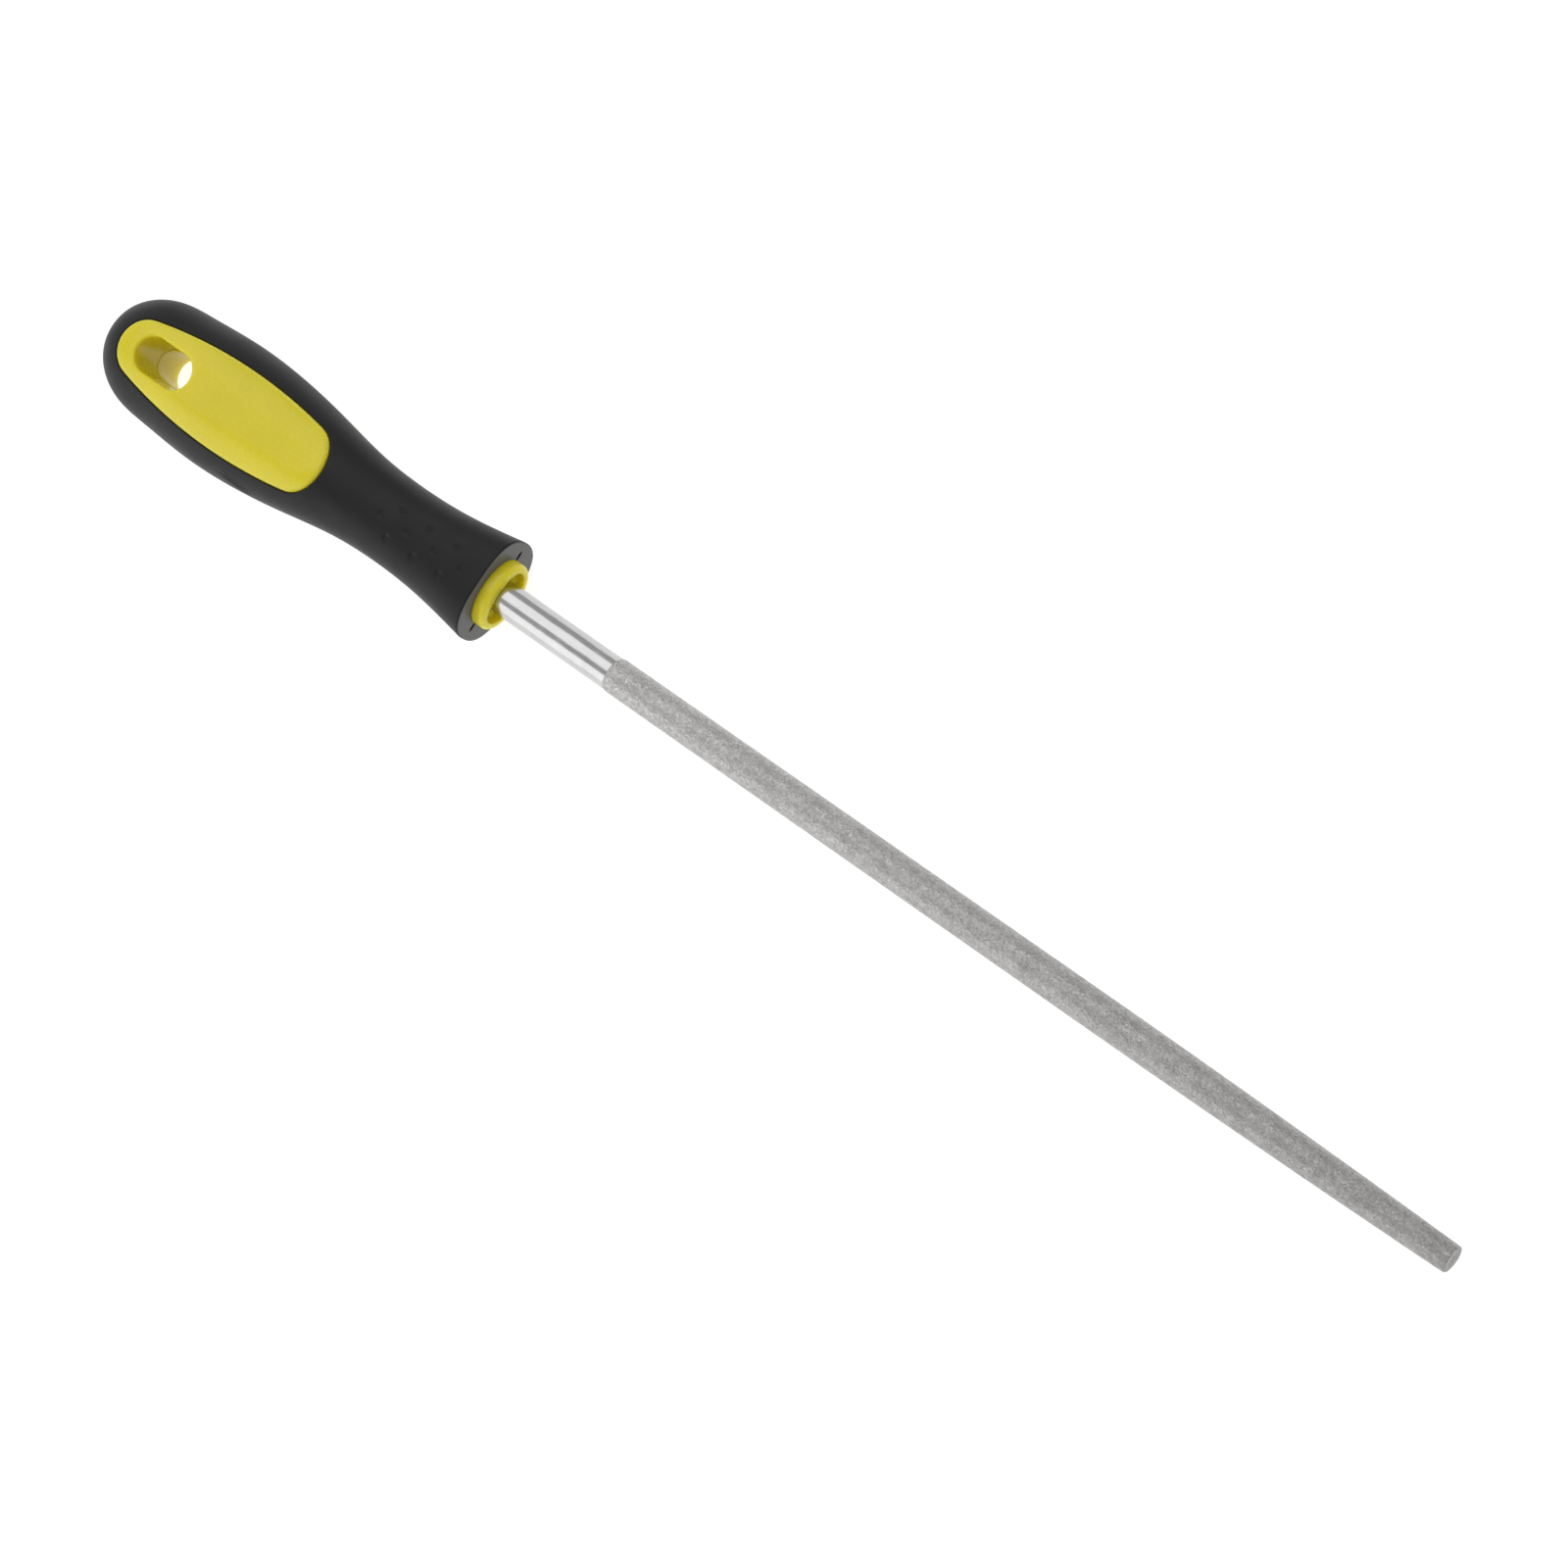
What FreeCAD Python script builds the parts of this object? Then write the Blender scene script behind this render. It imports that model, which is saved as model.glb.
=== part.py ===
import FreeCAD, Part
import math
import os

from FreeCAD import Vector

# Round grit file with a two-colour moulded handle, in millimetres.
# While it is drawn, X runs along the file's axis from the handle's nose face (X = 0)
# towards the tip, Y is across the handle and Z is through its two oval windows.
# Each solid is then moved so that the origin is the middle of the whole length, on the
# level that the handle rests on.

# File bar and its grit
EXPOSED_LENGTH = 254.0
SHANK_RADIUS = 3.84
GRIT_THICKNESS = 0.16
GRIT_START = 34.5
TAPER_START = 160.0
TIP_RADIUS = 3.07
TIP_EDGE_ROUND = 0.4
SHOULDER_DEPTH = 9.0
TANG_LENGTH = 56.0
TANG_ROOT_SIDE = 5.2
TANG_END_SIDE = 3.4

# Handle's oval sections: distance behind the nose, half width, half height, and the power
# of the oval (2 is an ellipse, more is squarer)
HANDLE_LENGTH = 116.2
SECTIONS = (
    (0.0, 12.4, 8.9, 2.6),
    (7.5, 11.2, 8.65, 2.5),
    (17.0, 10.05, 8.3, 2.35),
    (28.0, 9.6, 8.1, 2.2),
    (41.0, 10.25, 8.6, 2.1),
    (55.5, 12.55, 9.75, 2.0),
    (69.0, 14.3, 10.7, 2.0),
    (83.0, 14.85, 11.0, 2.0),
    (96.0, 14.1, 10.6, 2.0),
)
BUTT_ANGLES = (25.0, 45.0, 62.0, 76.0, 85.0)
BUTT_FULLNESS = 2.22
OVAL_POINTS = 48
NOSE_EDGE_ROUND = 0.45

# Rubber sleeve over the plastic core
RUBBER_THICKNESS = 2.6
NOSE_THICKNESS = 3.0
SLIT_LENGTH = 2.2
SLIT_WIDTH = 0.45
SLIT_DEPTH = 1.2
DIMPLE_RADIUS = 1.6
DIMPLE_DEPTH = 0.3
DIMPLE_PITCH = 8.0
DIMPLE_ROW_SPACING = 3.5
DIMPLE_FIRST = 5.4

# Collar round the shank, and the socket behind it
COLLAR_HALF_WIDTH = 8.05
COLLAR_HALF_HEIGHT = 6.25
COLLAR_PROUD = 3.1
COLLAR_EDGE_ROUND = 1.0
RECESS_WIDTH = 12.6
RECESS_HEIGHT = 7.0
RECESS_DEPTH = 1.9
SOCKET_CLEARANCE = 0.1

# Oval windows: two end circles and the long side arcs that touch both
WINDOW_BUTT_CENTRE = 101.65
WINDOW_BUTT_RADIUS = 6.95
WINDOW_NOSE_CENTRE = 55.2
WINDOW_NOSE_RADIUS = 8.3
WINDOW_HALF_WIDTH = 10.0
WINDOW_PROUD = 0.35
REST_HALF_HEIGHT = 10.85

# Hang slot, drafted from both faces to a parting line at mid height
SLOT_CENTRE = 94.6
SLOT_MOUTH = (16.0, 8.6)
SLOT_MIDDLE = (15.3, 7.4)

# Worked out
COAT_RADIUS = SHANK_RADIUS + GRIT_THICKNESS
MIDDLE_X = (EXPOSED_LENGTH - HANDLE_LENGTH) / 2
ALONG = Vector(1, 0, 0)
ACROSS = Vector(0, 1, 0)


def edge(start, end):
    """Straight edge between two points."""
    return Part.LineSegment(start, end).toShape()


def taper_arc(start_x, end_x, start_radius, end_radius):
    """Convex taper in the XY plane: an arc that leaves the parallel length smoothly."""
    length = end_x - start_x
    drop = start_radius - end_radius
    bend = (length ** 2 + drop ** 2) / (2 * drop)
    half = length / 2
    middle = start_radius - bend + math.sqrt(bend ** 2 - half ** 2)
    return Part.Arc(
        Vector(start_x, start_radius, 0),
        Vector(start_x + half, middle, 0),
        Vector(end_x, end_radius, 0),
    ).toShape()


def round_bar(start_x, end_x, radius, end_radius, edge_round):
    """Round bar that is parallel up to the taper, with a rounded tip edge."""
    side_end = end_x - edge_round
    start = Vector(start_x, 0, 0)
    rim = Vector(start_x, radius, 0)
    taper_start = Vector(TAPER_START, radius, 0)
    side = Vector(side_end, end_radius, 0)
    slant = edge_round * math.sqrt(0.5)
    nose = Vector(side_end + slant, end_radius - edge_round + slant, 0)
    face = Vector(end_x, end_radius - edge_round, 0)
    end = Vector(end_x, 0, 0)
    profile = Part.Wire([
        edge(start, rim),
        edge(rim, taper_start),
        taper_arc(TAPER_START, side_end, radius, end_radius),
        Part.Arc(side, nose, face).toShape(),
        edge(face, end),
        edge(end, start),
    ])
    return Part.Face(profile).revolve(Vector(0, 0, 0), ALONG, 360)


def square(x, side):
    """Square wire across the axis."""
    half = side / 2
    return Part.makePolygon([
        Vector(x, -half, -half),
        Vector(x, half, -half),
        Vector(x, half, half),
        Vector(x, -half, half),
        Vector(x, -half, -half),
    ])


def make_tang():
    """Square tang that tapers into the handle."""
    root = square(-SHOULDER_DEPTH, TANG_ROOT_SIDE)
    end = square(-SHOULDER_DEPTH - TANG_LENGTH, TANG_END_SIDE)
    return Part.makeLoft([root, end], True, True)


def make_file_bar():
    """Steel bar: shank, working length and tang in one piece."""
    shaft = round_bar(
        -SHOULDER_DEPTH, EXPOSED_LENGTH - GRIT_THICKNESS, SHANK_RADIUS,
        TIP_RADIUS - GRIT_THICKNESS, TIP_EDGE_ROUND - GRIT_THICKNESS,
    )
    return shaft.fuse(make_tang()).removeSplitter()


def make_grit_coat(bar):
    """Grit held in plating over the working length and the tip."""
    outside = round_bar(GRIT_START, EXPOSED_LENGTH, COAT_RADIUS, TIP_RADIUS, TIP_EDGE_ROUND)
    return outside.cut(bar)


def oval(x, half_width, half_height, power):
    """Smooth closed oval across the axis, from an ellipse to a rounded rectangle."""
    points = []
    for index in range(OVAL_POINTS):
        turn = 2 * math.pi * index / OVAL_POINTS
        swell = (abs(math.cos(turn)) ** power + abs(math.sin(turn)) ** power) ** (-1 / power)
        points.append(Vector(
            x, half_width * swell * math.cos(turn), half_height * swell * math.sin(turn)
        ))
    curve = Part.BSplineCurve()
    curve.interpolate(Points=points, PeriodicFlag=True)
    return Part.Wire(curve.toShape())


def handle_form(growth, nose_x=0.0):
    """Handle's oval form, offset by growth, from nose_x to its rounded butt."""
    belly, belly_width, belly_height, belly_power = SECTIONS[-1]
    ovals = [
        oval(-back if back else nose_x, width + growth, height + growth, power)
        for back, width, height, power in SECTIONS
    ]
    last = math.sin(math.radians(BUTT_ANGLES[-1])) ** (2 / BUTT_FULLNESS)
    reach = (HANDLE_LENGTH - belly + growth) / last
    for degrees in BUTT_ANGLES:
        angle = math.radians(degrees)
        back = reach * math.sin(angle) ** (2 / BUTT_FULLNESS)
        shrink = math.cos(angle) ** (2 / BUTT_FULLNESS)
        ovals.append(oval(
            -belly - back, (belly_width + growth) * shrink,
            (belly_height + growth) * shrink, belly_power,
        ))
    return Part.makeLoft(ovals, True, False)


def window_outline():
    """Closed outline of an oval window in the XY plane."""
    rise = WINDOW_HALF_WIDTH
    gap = WINDOW_BUTT_CENTRE - WINDOW_NOSE_CENTRE
    butt_step = rise - WINDOW_BUTT_RADIUS
    nose_step = rise - WINDOW_NOSE_RADIUS
    # The side circle, of radius bend, has its centre `along` in front of the butt circle's.
    # Both end circles touch it from inside, which gives a quadratic for `along`.
    share = nose_step / butt_step
    square_term = 1 - share
    linear_term = -2 * gap
    constant = gap ** 2 + share * butt_step ** 2 - nose_step ** 2
    root = math.sqrt(linear_term ** 2 - 4 * square_term * constant)
    along = (-linear_term - root) / (2 * square_term)
    bend = (along ** 2 + rise ** 2 - WINDOW_BUTT_RADIUS ** 2) / (2 * butt_step)
    side_x = -WINDOW_BUTT_CENTRE + along
    side_y = rise - bend

    def touch(centre_x, radius):
        reach = math.hypot(centre_x - side_x, side_y)
        return Vector(
            centre_x + radius * (centre_x - side_x) / reach, -radius * side_y / reach, 0
        )

    def mirrored(point):
        return Vector(point.x, -point.y, 0)

    butt = touch(-WINDOW_BUTT_CENTRE, WINDOW_BUTT_RADIUS)
    nose = touch(-WINDOW_NOSE_CENTRE, WINDOW_NOSE_RADIUS)
    crest = Vector(side_x, rise, 0)
    butt_end = Vector(-WINDOW_BUTT_CENTRE - WINDOW_BUTT_RADIUS, 0, 0)
    nose_end = Vector(-WINDOW_NOSE_CENTRE + WINDOW_NOSE_RADIUS, 0, 0)
    return Part.Wire([
        Part.Arc(butt, crest, nose).toShape(),
        Part.Arc(nose, nose_end, mirrored(nose)).toShape(),
        Part.Arc(mirrored(nose), mirrored(crest), mirrored(butt)).toShape(),
        Part.Arc(mirrored(butt), butt_end, butt).toShape(),
    ])


def window_prism():
    """Prism through the handle with the windows' outline."""
    depth = 2 * HANDLE_LENGTH
    outline = window_outline()
    outline.translate(Vector(0, 0, -depth / 2))
    return Part.Face(outline).extrude(Vector(0, 0, depth))


def racetrack(size, z):
    """Racetrack wire of the given length and width at height z."""
    length, width = size
    radius = width / 2
    reach = length / 2 - radius
    left = -SLOT_CENTRE - reach
    right = -SLOT_CENTRE + reach
    return Part.Wire([
        edge(Vector(left, radius, z), Vector(right, radius, z)),
        Part.Arc(Vector(right, radius, z), Vector(right + radius, 0, z),
                 Vector(right, -radius, z)).toShape(),
        edge(Vector(right, -radius, z), Vector(left, -radius, z)),
        Part.Arc(Vector(left, -radius, z), Vector(left - radius, 0, z),
                 Vector(left, radius, z)).toShape(),
    ])


def make_hang_slot():
    """Hole for hanging the file up, widest at the two faces."""
    middle = racetrack(SLOT_MIDDLE, 0)
    upper = Part.makeLoft([middle, racetrack(SLOT_MOUTH, REST_HALF_HEIGHT)], True, True)
    lower = Part.makeLoft([racetrack(SLOT_MOUTH, -REST_HALF_HEIGHT), middle], True, True)
    return upper.fuse(lower)


def make_recess():
    """Wide shallow racetrack recess in the collar's front, on both sides of the shank."""
    radius = RECESS_HEIGHT / 2
    reach = RECESS_WIDTH / 2 - radius
    floor = COLLAR_PROUD - RECESS_DEPTH
    middle = Part.makeBox(
        RECESS_DEPTH, 2 * reach, RECESS_HEIGHT, Vector(floor, -reach, -radius)
    )
    ends = [
        Part.makeCylinder(radius, RECESS_DEPTH, Vector(floor, side * reach, 0), ALONG)
        for side in (1, -1)
    ]
    return middle.fuse(ends)


def make_socket():
    """Recess, round hole for the shank and the tang's own hole."""
    hole = Part.makeCylinder(
        SHANK_RADIUS + SOCKET_CLEARANCE, SHOULDER_DEPTH + COLLAR_PROUD,
        Vector(-SHOULDER_DEPTH, 0, 0), ALONG,
    )
    return make_recess().fuse(hole).fuse(make_tang())


def make_collar():
    """Oval collar with a rounded front edge."""
    rim = Part.Ellipse(
        Vector(-NOSE_THICKNESS, COLLAR_HALF_WIDTH, 0),
        Vector(-NOSE_THICKNESS, 0, COLLAR_HALF_HEIGHT), Vector(-NOSE_THICKNESS, 0, 0),
    )
    face = Part.Face(Part.Wire(rim.toShape()))
    collar = face.extrude(ALONG * (NOSE_THICKNESS + COLLAR_PROUD))
    front = [part for part in collar.Edges if abs(part.CenterOfMass.x - COLLAR_PROUD) < 0.01]
    return collar.makeFillet(COLLAR_EDGE_ROUND, front)


def make_handle_core():
    """Hard plastic core: collar, socket, two raised windows and the hang slot."""
    inner = handle_form(-RUBBER_THICKNESS, -NOSE_THICKNESS)
    slab = Part.makeBox(
        2 * HANDLE_LENGTH, 2 * HANDLE_LENGTH, 2 * REST_HALF_HEIGHT,
        Vector(-1.5 * HANDLE_LENGTH, -HANDLE_LENGTH, -REST_HALF_HEIGHT),
    )
    pads = handle_form(WINDOW_PROUD).common(window_prism()).common(slab)
    body = inner.fuse(pads).fuse(make_collar())
    return body.cut(make_hang_slot()).cut(make_socket())


def make_slits():
    """Two narrow slits in the nose face, one each side of the collar."""
    overlap = 0.3
    right = Part.makeBox(
        SLIT_DEPTH, SLIT_LENGTH + overlap, SLIT_WIDTH,
        Vector(-SLIT_DEPTH, COLLAR_HALF_WIDTH - overlap, -SLIT_WIDTH / 2),
    )
    left = right.mirror(Vector(0, 0, 0), ACROSS)
    return [right, left]


def section_height(back, across):
    """Height of the sleeve's surface at a distance behind the nose, by linear steps."""
    for near, far in zip(SECTIONS, SECTIONS[1:]):
        if near[0] <= back <= far[0]:
            part = (back - near[0]) / (far[0] - near[0])
            width = near[1] + part * (far[1] - near[1])
            height = near[2] + part * (far[2] - near[2])
            power = near[3] + part * (far[3] - near[3])
            return height * (1 - abs(across / width) ** power) ** (1 / power)
    raise ValueError("no section there")


def make_dimples():
    """Three staggered rows of shallow round dimples on the top and the underside of the waist."""
    dimples = []
    for row, count in ((-1, 3), (0, 4), (1, 3)):
        shift = DIMPLE_PITCH / 2 if row else 0.0
        for index in range(count):
            back = DIMPLE_FIRST + shift + index * DIMPLE_PITCH
            across = row * DIMPLE_ROW_SPACING
            lift = section_height(back, across) + DIMPLE_RADIUS - DIMPLE_DEPTH
            for side in (1, -1):
                dimples.append(Part.makeSphere(DIMPLE_RADIUS, Vector(-back, across, side * lift)))
    return dimples


def make_grip_sleeve(core_form):
    """Soft rubber sleeve moulded over the core, open at the windows and the collar."""
    form = handle_form(0.0)
    rim = [part for part in form.Edges if abs(part.CenterOfMass.x) < 0.01]
    outside = form.makeFillet(NOSE_EDGE_ROUND, rim)
    sleeve = outside.cut(core_form).cut(window_prism())
    return sleeve.cut(make_slits() + make_dimples())


def export(name, shape):
    """Move a solid into the part's frame and write it."""
    placed = shape.copy()
    placed.translate(Vector(-MIDDLE_X, 0, REST_HALF_HEIGHT))
    print(name, "valid", placed.isValid(), "solids", len(placed.Solids))
    placed.exportStep("parts/" + name + ".step")


def main():
    os.makedirs("parts", exist_ok=True)
    bar = make_file_bar()
    core_form = handle_form(-RUBBER_THICKNESS, -NOSE_THICKNESS).fuse(make_collar())
    export("file_bar", bar)
    export("grit_coat", make_grit_coat(bar))
    export("handle_core", make_handle_core())
    export("grip_sleeve", make_grip_sleeve(core_form))


main()
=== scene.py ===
import math

import bmesh
import bpy
import numpy as np
from bpy.props import FloatProperty, FloatVectorProperty, IntProperty, PointerProperty
from mathutils import Matrix, Vector


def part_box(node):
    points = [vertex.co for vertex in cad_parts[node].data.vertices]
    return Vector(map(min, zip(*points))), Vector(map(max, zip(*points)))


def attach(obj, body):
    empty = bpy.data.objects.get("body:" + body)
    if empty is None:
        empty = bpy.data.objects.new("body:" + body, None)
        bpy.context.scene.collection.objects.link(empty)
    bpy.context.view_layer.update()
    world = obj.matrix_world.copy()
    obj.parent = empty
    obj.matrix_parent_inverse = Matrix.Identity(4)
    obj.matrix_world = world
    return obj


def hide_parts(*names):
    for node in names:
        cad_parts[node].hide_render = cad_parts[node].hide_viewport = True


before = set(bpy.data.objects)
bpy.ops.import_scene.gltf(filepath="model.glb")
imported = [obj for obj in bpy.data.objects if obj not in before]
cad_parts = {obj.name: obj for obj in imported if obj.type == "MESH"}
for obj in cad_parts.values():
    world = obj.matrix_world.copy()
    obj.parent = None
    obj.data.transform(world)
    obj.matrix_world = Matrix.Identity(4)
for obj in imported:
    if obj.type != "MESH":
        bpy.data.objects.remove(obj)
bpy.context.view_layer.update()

bl_info = {
    "name": "Round Grit File",
    "version": (1, 0, 0),
    "blender": (4, 5, 0),
    "location": "View3D > Sidebar > Round File",
    "description": "Builds the finished surfaces of a round grit file round its packed frame",
    "category": "Add Mesh",
}

# Shapes are worked out in millimetres from the nose face, on the file's axis, and moved
# into the frame when their meshes are made. Settings are in metres.
MM = 0.001
SLEEVE_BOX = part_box("grip_sleeve")
COAT_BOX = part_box("grit_coat")
BAR_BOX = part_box("file_bar")
CORE_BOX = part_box("handle_core")
NOSE_ORIGIN = np.array([SLEEVE_BOX[1].x, 0.0, (COAT_BOX[0].z + COAT_BOX[1].z) / 2])
HANDLE_LENGTH = (SLEEVE_BOX[1].x - SLEEVE_BOX[0].x) / MM
TIP_X = (COAT_BOX[1].x - NOSE_ORIGIN[0]) / MM
GRIT_START = (COAT_BOX[0].x - NOSE_ORIGIN[0]) / MM
COAT_RADIUS = (COAT_BOX[1].y - COAT_BOX[0].y) / 2 / MM
SHANK_RADIUS = (BAR_BOX[1].y - BAR_BOX[0].y) / 2 / MM
COLLAR_FRONT = (CORE_BOX[1].x - NOSE_ORIGIN[0]) / MM
REST_HALF_HEIGHT = (CORE_BOX[1].z - CORE_BOX[0].z) / 2 / MM
TANG_END = (BAR_BOX[0].x - NOSE_ORIGIN[0]) / MM

# Handle's oval sections: distance behind the nose, half width, half height, and the power
# of the oval (2 is an ellipse, more is squarer)
SECTIONS = np.array([
    (0.0, 12.4, 8.9, 2.6),
    (7.5, 11.2, 8.65, 2.5),
    (17.0, 10.05, 8.3, 2.35),
    (28.0, 9.6, 8.1, 2.2),
    (41.0, 10.25, 8.6, 2.1),
    (55.5, 12.55, 9.75, 2.0),
    (69.0, 14.3, 10.7, 2.0),
    (83.0, 14.85, 11.0, 2.0),
    (96.0, 14.1, 10.6, 2.0),
])
BUTT_ANGLES = np.radians([25.0, 45.0, 62.0, 76.0, 90.0, 104.0, 118.0])
BUTT_FULLNESS = 2.22
POLE_INDEX = len(SECTIONS) + 4
FORM_STEPS = 4000
RUBBER_THICKNESS = 2.6
NOSE_THICKNESS = 3.0
NOSE_EDGE_ROUND = 0.45
SKIN_CLEARANCE = 0.02

# Oval windows, hang slot and collar, as in the frame
WINDOW_BUTT_X = -101.65
WINDOW_BUTT_RADIUS = 6.95
WINDOW_NOSE_X = -55.2
WINDOW_NOSE_RADIUS = 8.3
WINDOW_HALF_WIDTH = 10.0
WINDOW_PROUD = 0.35
SLOT_X = -94.6
SLOT_MOUTH = (16.0, 8.6)
SLOT_MIDDLE = (15.3, 7.4)
COLLAR_HALF_WIDTH = 8.05
COLLAR_HALF_HEIGHT = 6.25
COLLAR_EDGE_ROUND = 1.0
RECESS_SIZE = (12.6, 7.0)
RECESS_DEPTH = 1.9
SOCKET_CLEARANCE = 0.1
COLLAR_CLEARANCE = 0.03
BORE_CHAMFER = 0.04
SHOULDER_DEPTH = 9.0

# File's taper and tang
TAPER_START = 160.0
TIP_RADIUS = 3.07
TIP_EDGE_ROUND = 0.4
GRIT_THICKNESS = 0.16
TANG_ROOT_SIDE = 5.2
TANG_END_SIDE = 3.4
TANG_SQUARENESS = 9.0
SHOULDER_CHAMFER = 0.3
BARE_TIP_ROUND = 0.2
HEEL_LENGTH = 0.5
ROUGH_LENGTH = 22.0

# Grid sizes of the bar and the grit
BAR_COLUMNS = 144
SHANK_ROWS = 150
GRIT_COLUMNS = 112
GRIT_ROWS = 815

# Value noise: size of a cell along X in millimetres, cells round the bar, and seed
LONG_RIPPLE = (4.0, 14, 11)
SHORT_RIPPLE = (1.3, 30, 12)
COARSE_GRAIN = (0.9, 28, 7)

# Long flat facet on the pads: where it fades in and out along X, how far it cuts the crown
# down, and how softly its edges are eased
FACET_X = (-91.0, -83.0)
FACET_END_X = (-51.3, -47.3)
FACET_CUT = 0.036
FACET_EASE = 0.12
REST_EASE = 0.1

# Grid sizes of the rubber sleeve: the waist is a tube up to where the window's field starts
WAIST_END = 38.0
RING_COUNT = 200
SIDE_COUNT = 130
BUTT_COUNT = 70
FIELD_ROWS = 40
SHOULDER_BACK = 97.0

# Moulding crease on the -Y side: where it fades in and out along X, and its ends' heights
CREASE_X = (-71.8, -68.3)
CREASE_END_X = (-64.3, -60.8)
CREASE_Z = (5.6, 2.5)


# Stage: the floor's reach and gap in metres, and the nose end of the flat that the handle
# rests on, where the tipped floor meets it. The softboxes' frame leans this far towards -X,
# as the sine and cosine of its lean.
FLOOR_REACH = 6.0
FLOOR_GAP = 0.00005
REST_NOSE_X = -66.0
VIEW_LEAN = (0.407, 0.913)


# -------- curves and fields

def spline(knots, values, at):
    """Natural cubic through values at knots: its second derivative is linear between knots,
    zero at both ends, and solves the usual three-term system."""
    count = len(knots)
    step = np.diff(knots)
    system = np.eye(count)
    inner = np.arange(1, count - 1)
    system[inner, inner - 1] = step[:-1]
    system[inner, inner] = 2 * (step[:-1] + step[1:])
    system[inner, inner + 1] = step[1:]
    right = np.zeros(count)
    right[1:-1] = 6 * np.diff(np.diff(values) / step)
    bend = np.linalg.solve(system, right)
    low = np.clip(np.searchsorted(knots, at) - 1, 0, count - 2)
    before = (knots[low + 1] - at) / step[low]
    after = 1 - before
    cubic = (before ** 3 - before) * bend[low] + (after ** 3 - after) * bend[low + 1]
    return before * values[low] + after * values[low + 1] + cubic * step[low] ** 2 / 6


def form_table(growth):
    """Handle's form offset by growth, as rows of distance back, half width, half height and
    oval power. One cubic spline runs through the sections and a rounded end whose length
    and size follow powers of sine and cosine. It is spaced by chord length, and goes on
    past the pole so that it closes square to the axis."""
    belly, belly_width, belly_height = SECTIONS[-1, :3]
    power = 2 / BUTT_FULLNESS
    cosine = np.cos(BUTT_ANGLES)
    shrink = np.sign(cosine) * np.abs(cosine) ** power
    reach = HANDLE_LENGTH - belly + growth
    back = np.concatenate([SECTIONS[:, 0], belly + reach * np.sin(BUTT_ANGLES) ** power])
    width = np.concatenate([SECTIONS[:, 1] + growth, (belly_width + growth) * shrink])
    height = np.concatenate([SECTIONS[:, 2] + growth, (belly_height + growth) * shrink])
    along = np.concatenate([[0.0], np.cumsum(np.hypot(np.diff(back), np.diff(width)))])
    at = np.linspace(0.0, along[POLE_INDEX], FORM_STEPS)
    table = np.array([spline(along, line, at) for line in (back, width, height)])
    table[1:] = np.maximum(table[1:], 0.0)
    powers = np.interp(table[0], SECTIONS[:, 0], SECTIONS[:, 3])
    return np.concatenate([table, powers[None, :]])


def section(table, back):
    """Half width, half height and power of the form at distances behind the nose."""
    return tuple(np.interp(back, table[0], line) for line in table[1:])


def crown(table, x, y):
    """Height of the oval form over the axis plane: the oval's equation, with y over the
    half width and z over the half height each raised to the oval's power, solved for z."""
    width, height, power = section(table, -x)
    share = np.abs(y) / np.maximum(width, 1e-9)
    return height * np.clip(1 - share ** power, 0, 1) ** (1 / power)


def smooth_step(value, start, end):
    """Zero before start, one after end, and a cubic ease between them."""
    share = np.clip((value - start) / (end - start), 0, 1)
    return share * share * (3 - 2 * share)


def soft_least(first, second, width):
    """The lesser of two fields, rounded off where they are within width of each other."""
    share = np.clip(0.5 + 0.5 * (second - first) / width, 0, 1)
    return second + (first - second) * share - width * share * (1 - share)


def round_noise(along, columns, grain):
    """Smooth noise from 0 to 1 over rows along the bar and columns round it: random values
    on the corners of cells, eased between them. It repeats after one turn."""
    cell, wrap, seed = grain
    x = along[:, None] / cell
    y = np.linspace(0, wrap, columns, endpoint=False)[None, :]
    rng = np.random.default_rng(seed)
    side = 256
    lattice = rng.random((side, side))
    column = np.floor(x).astype(int)
    row = np.floor(y).astype(int)
    fx = smooth_step(x - column, 0, 1)
    fy = smooth_step(y - row, 0, 1)
    near = row % wrap
    far = (row + 1) % wrap

    def value(i, j):
        return lattice[i % side, j % side]

    low = value(column, near) * (1 - fx) + value(column + 1, near) * fx
    high = value(column, far) * (1 - fx) + value(column + 1, far) * fx
    return low * (1 - fy) + high * fy


# -------- loops round the handle

def window_arcs():
    """Centre and radius of the long side arc that both end circles of the window touch
    from inside, from the quadratic that the two touching conditions give."""
    gap = WINDOW_NOSE_X - WINDOW_BUTT_X
    butt_step = WINDOW_HALF_WIDTH - WINDOW_BUTT_RADIUS
    share = (WINDOW_HALF_WIDTH - WINDOW_NOSE_RADIUS) / butt_step
    square_term = 1 - share
    nose_step = WINDOW_HALF_WIDTH - WINDOW_NOSE_RADIUS
    constant = gap ** 2 + share * butt_step ** 2 - nose_step ** 2
    along = (2 * gap - math.sqrt(4 * gap ** 2 - 4 * square_term * constant)) / (2 * square_term)
    bend = (along ** 2 + WINDOW_HALF_WIDTH ** 2 - WINDOW_BUTT_RADIUS ** 2) / (2 * butt_step)
    return WINDOW_BUTT_X + along, WINDOW_HALF_WIDTH - bend, bend


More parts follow.
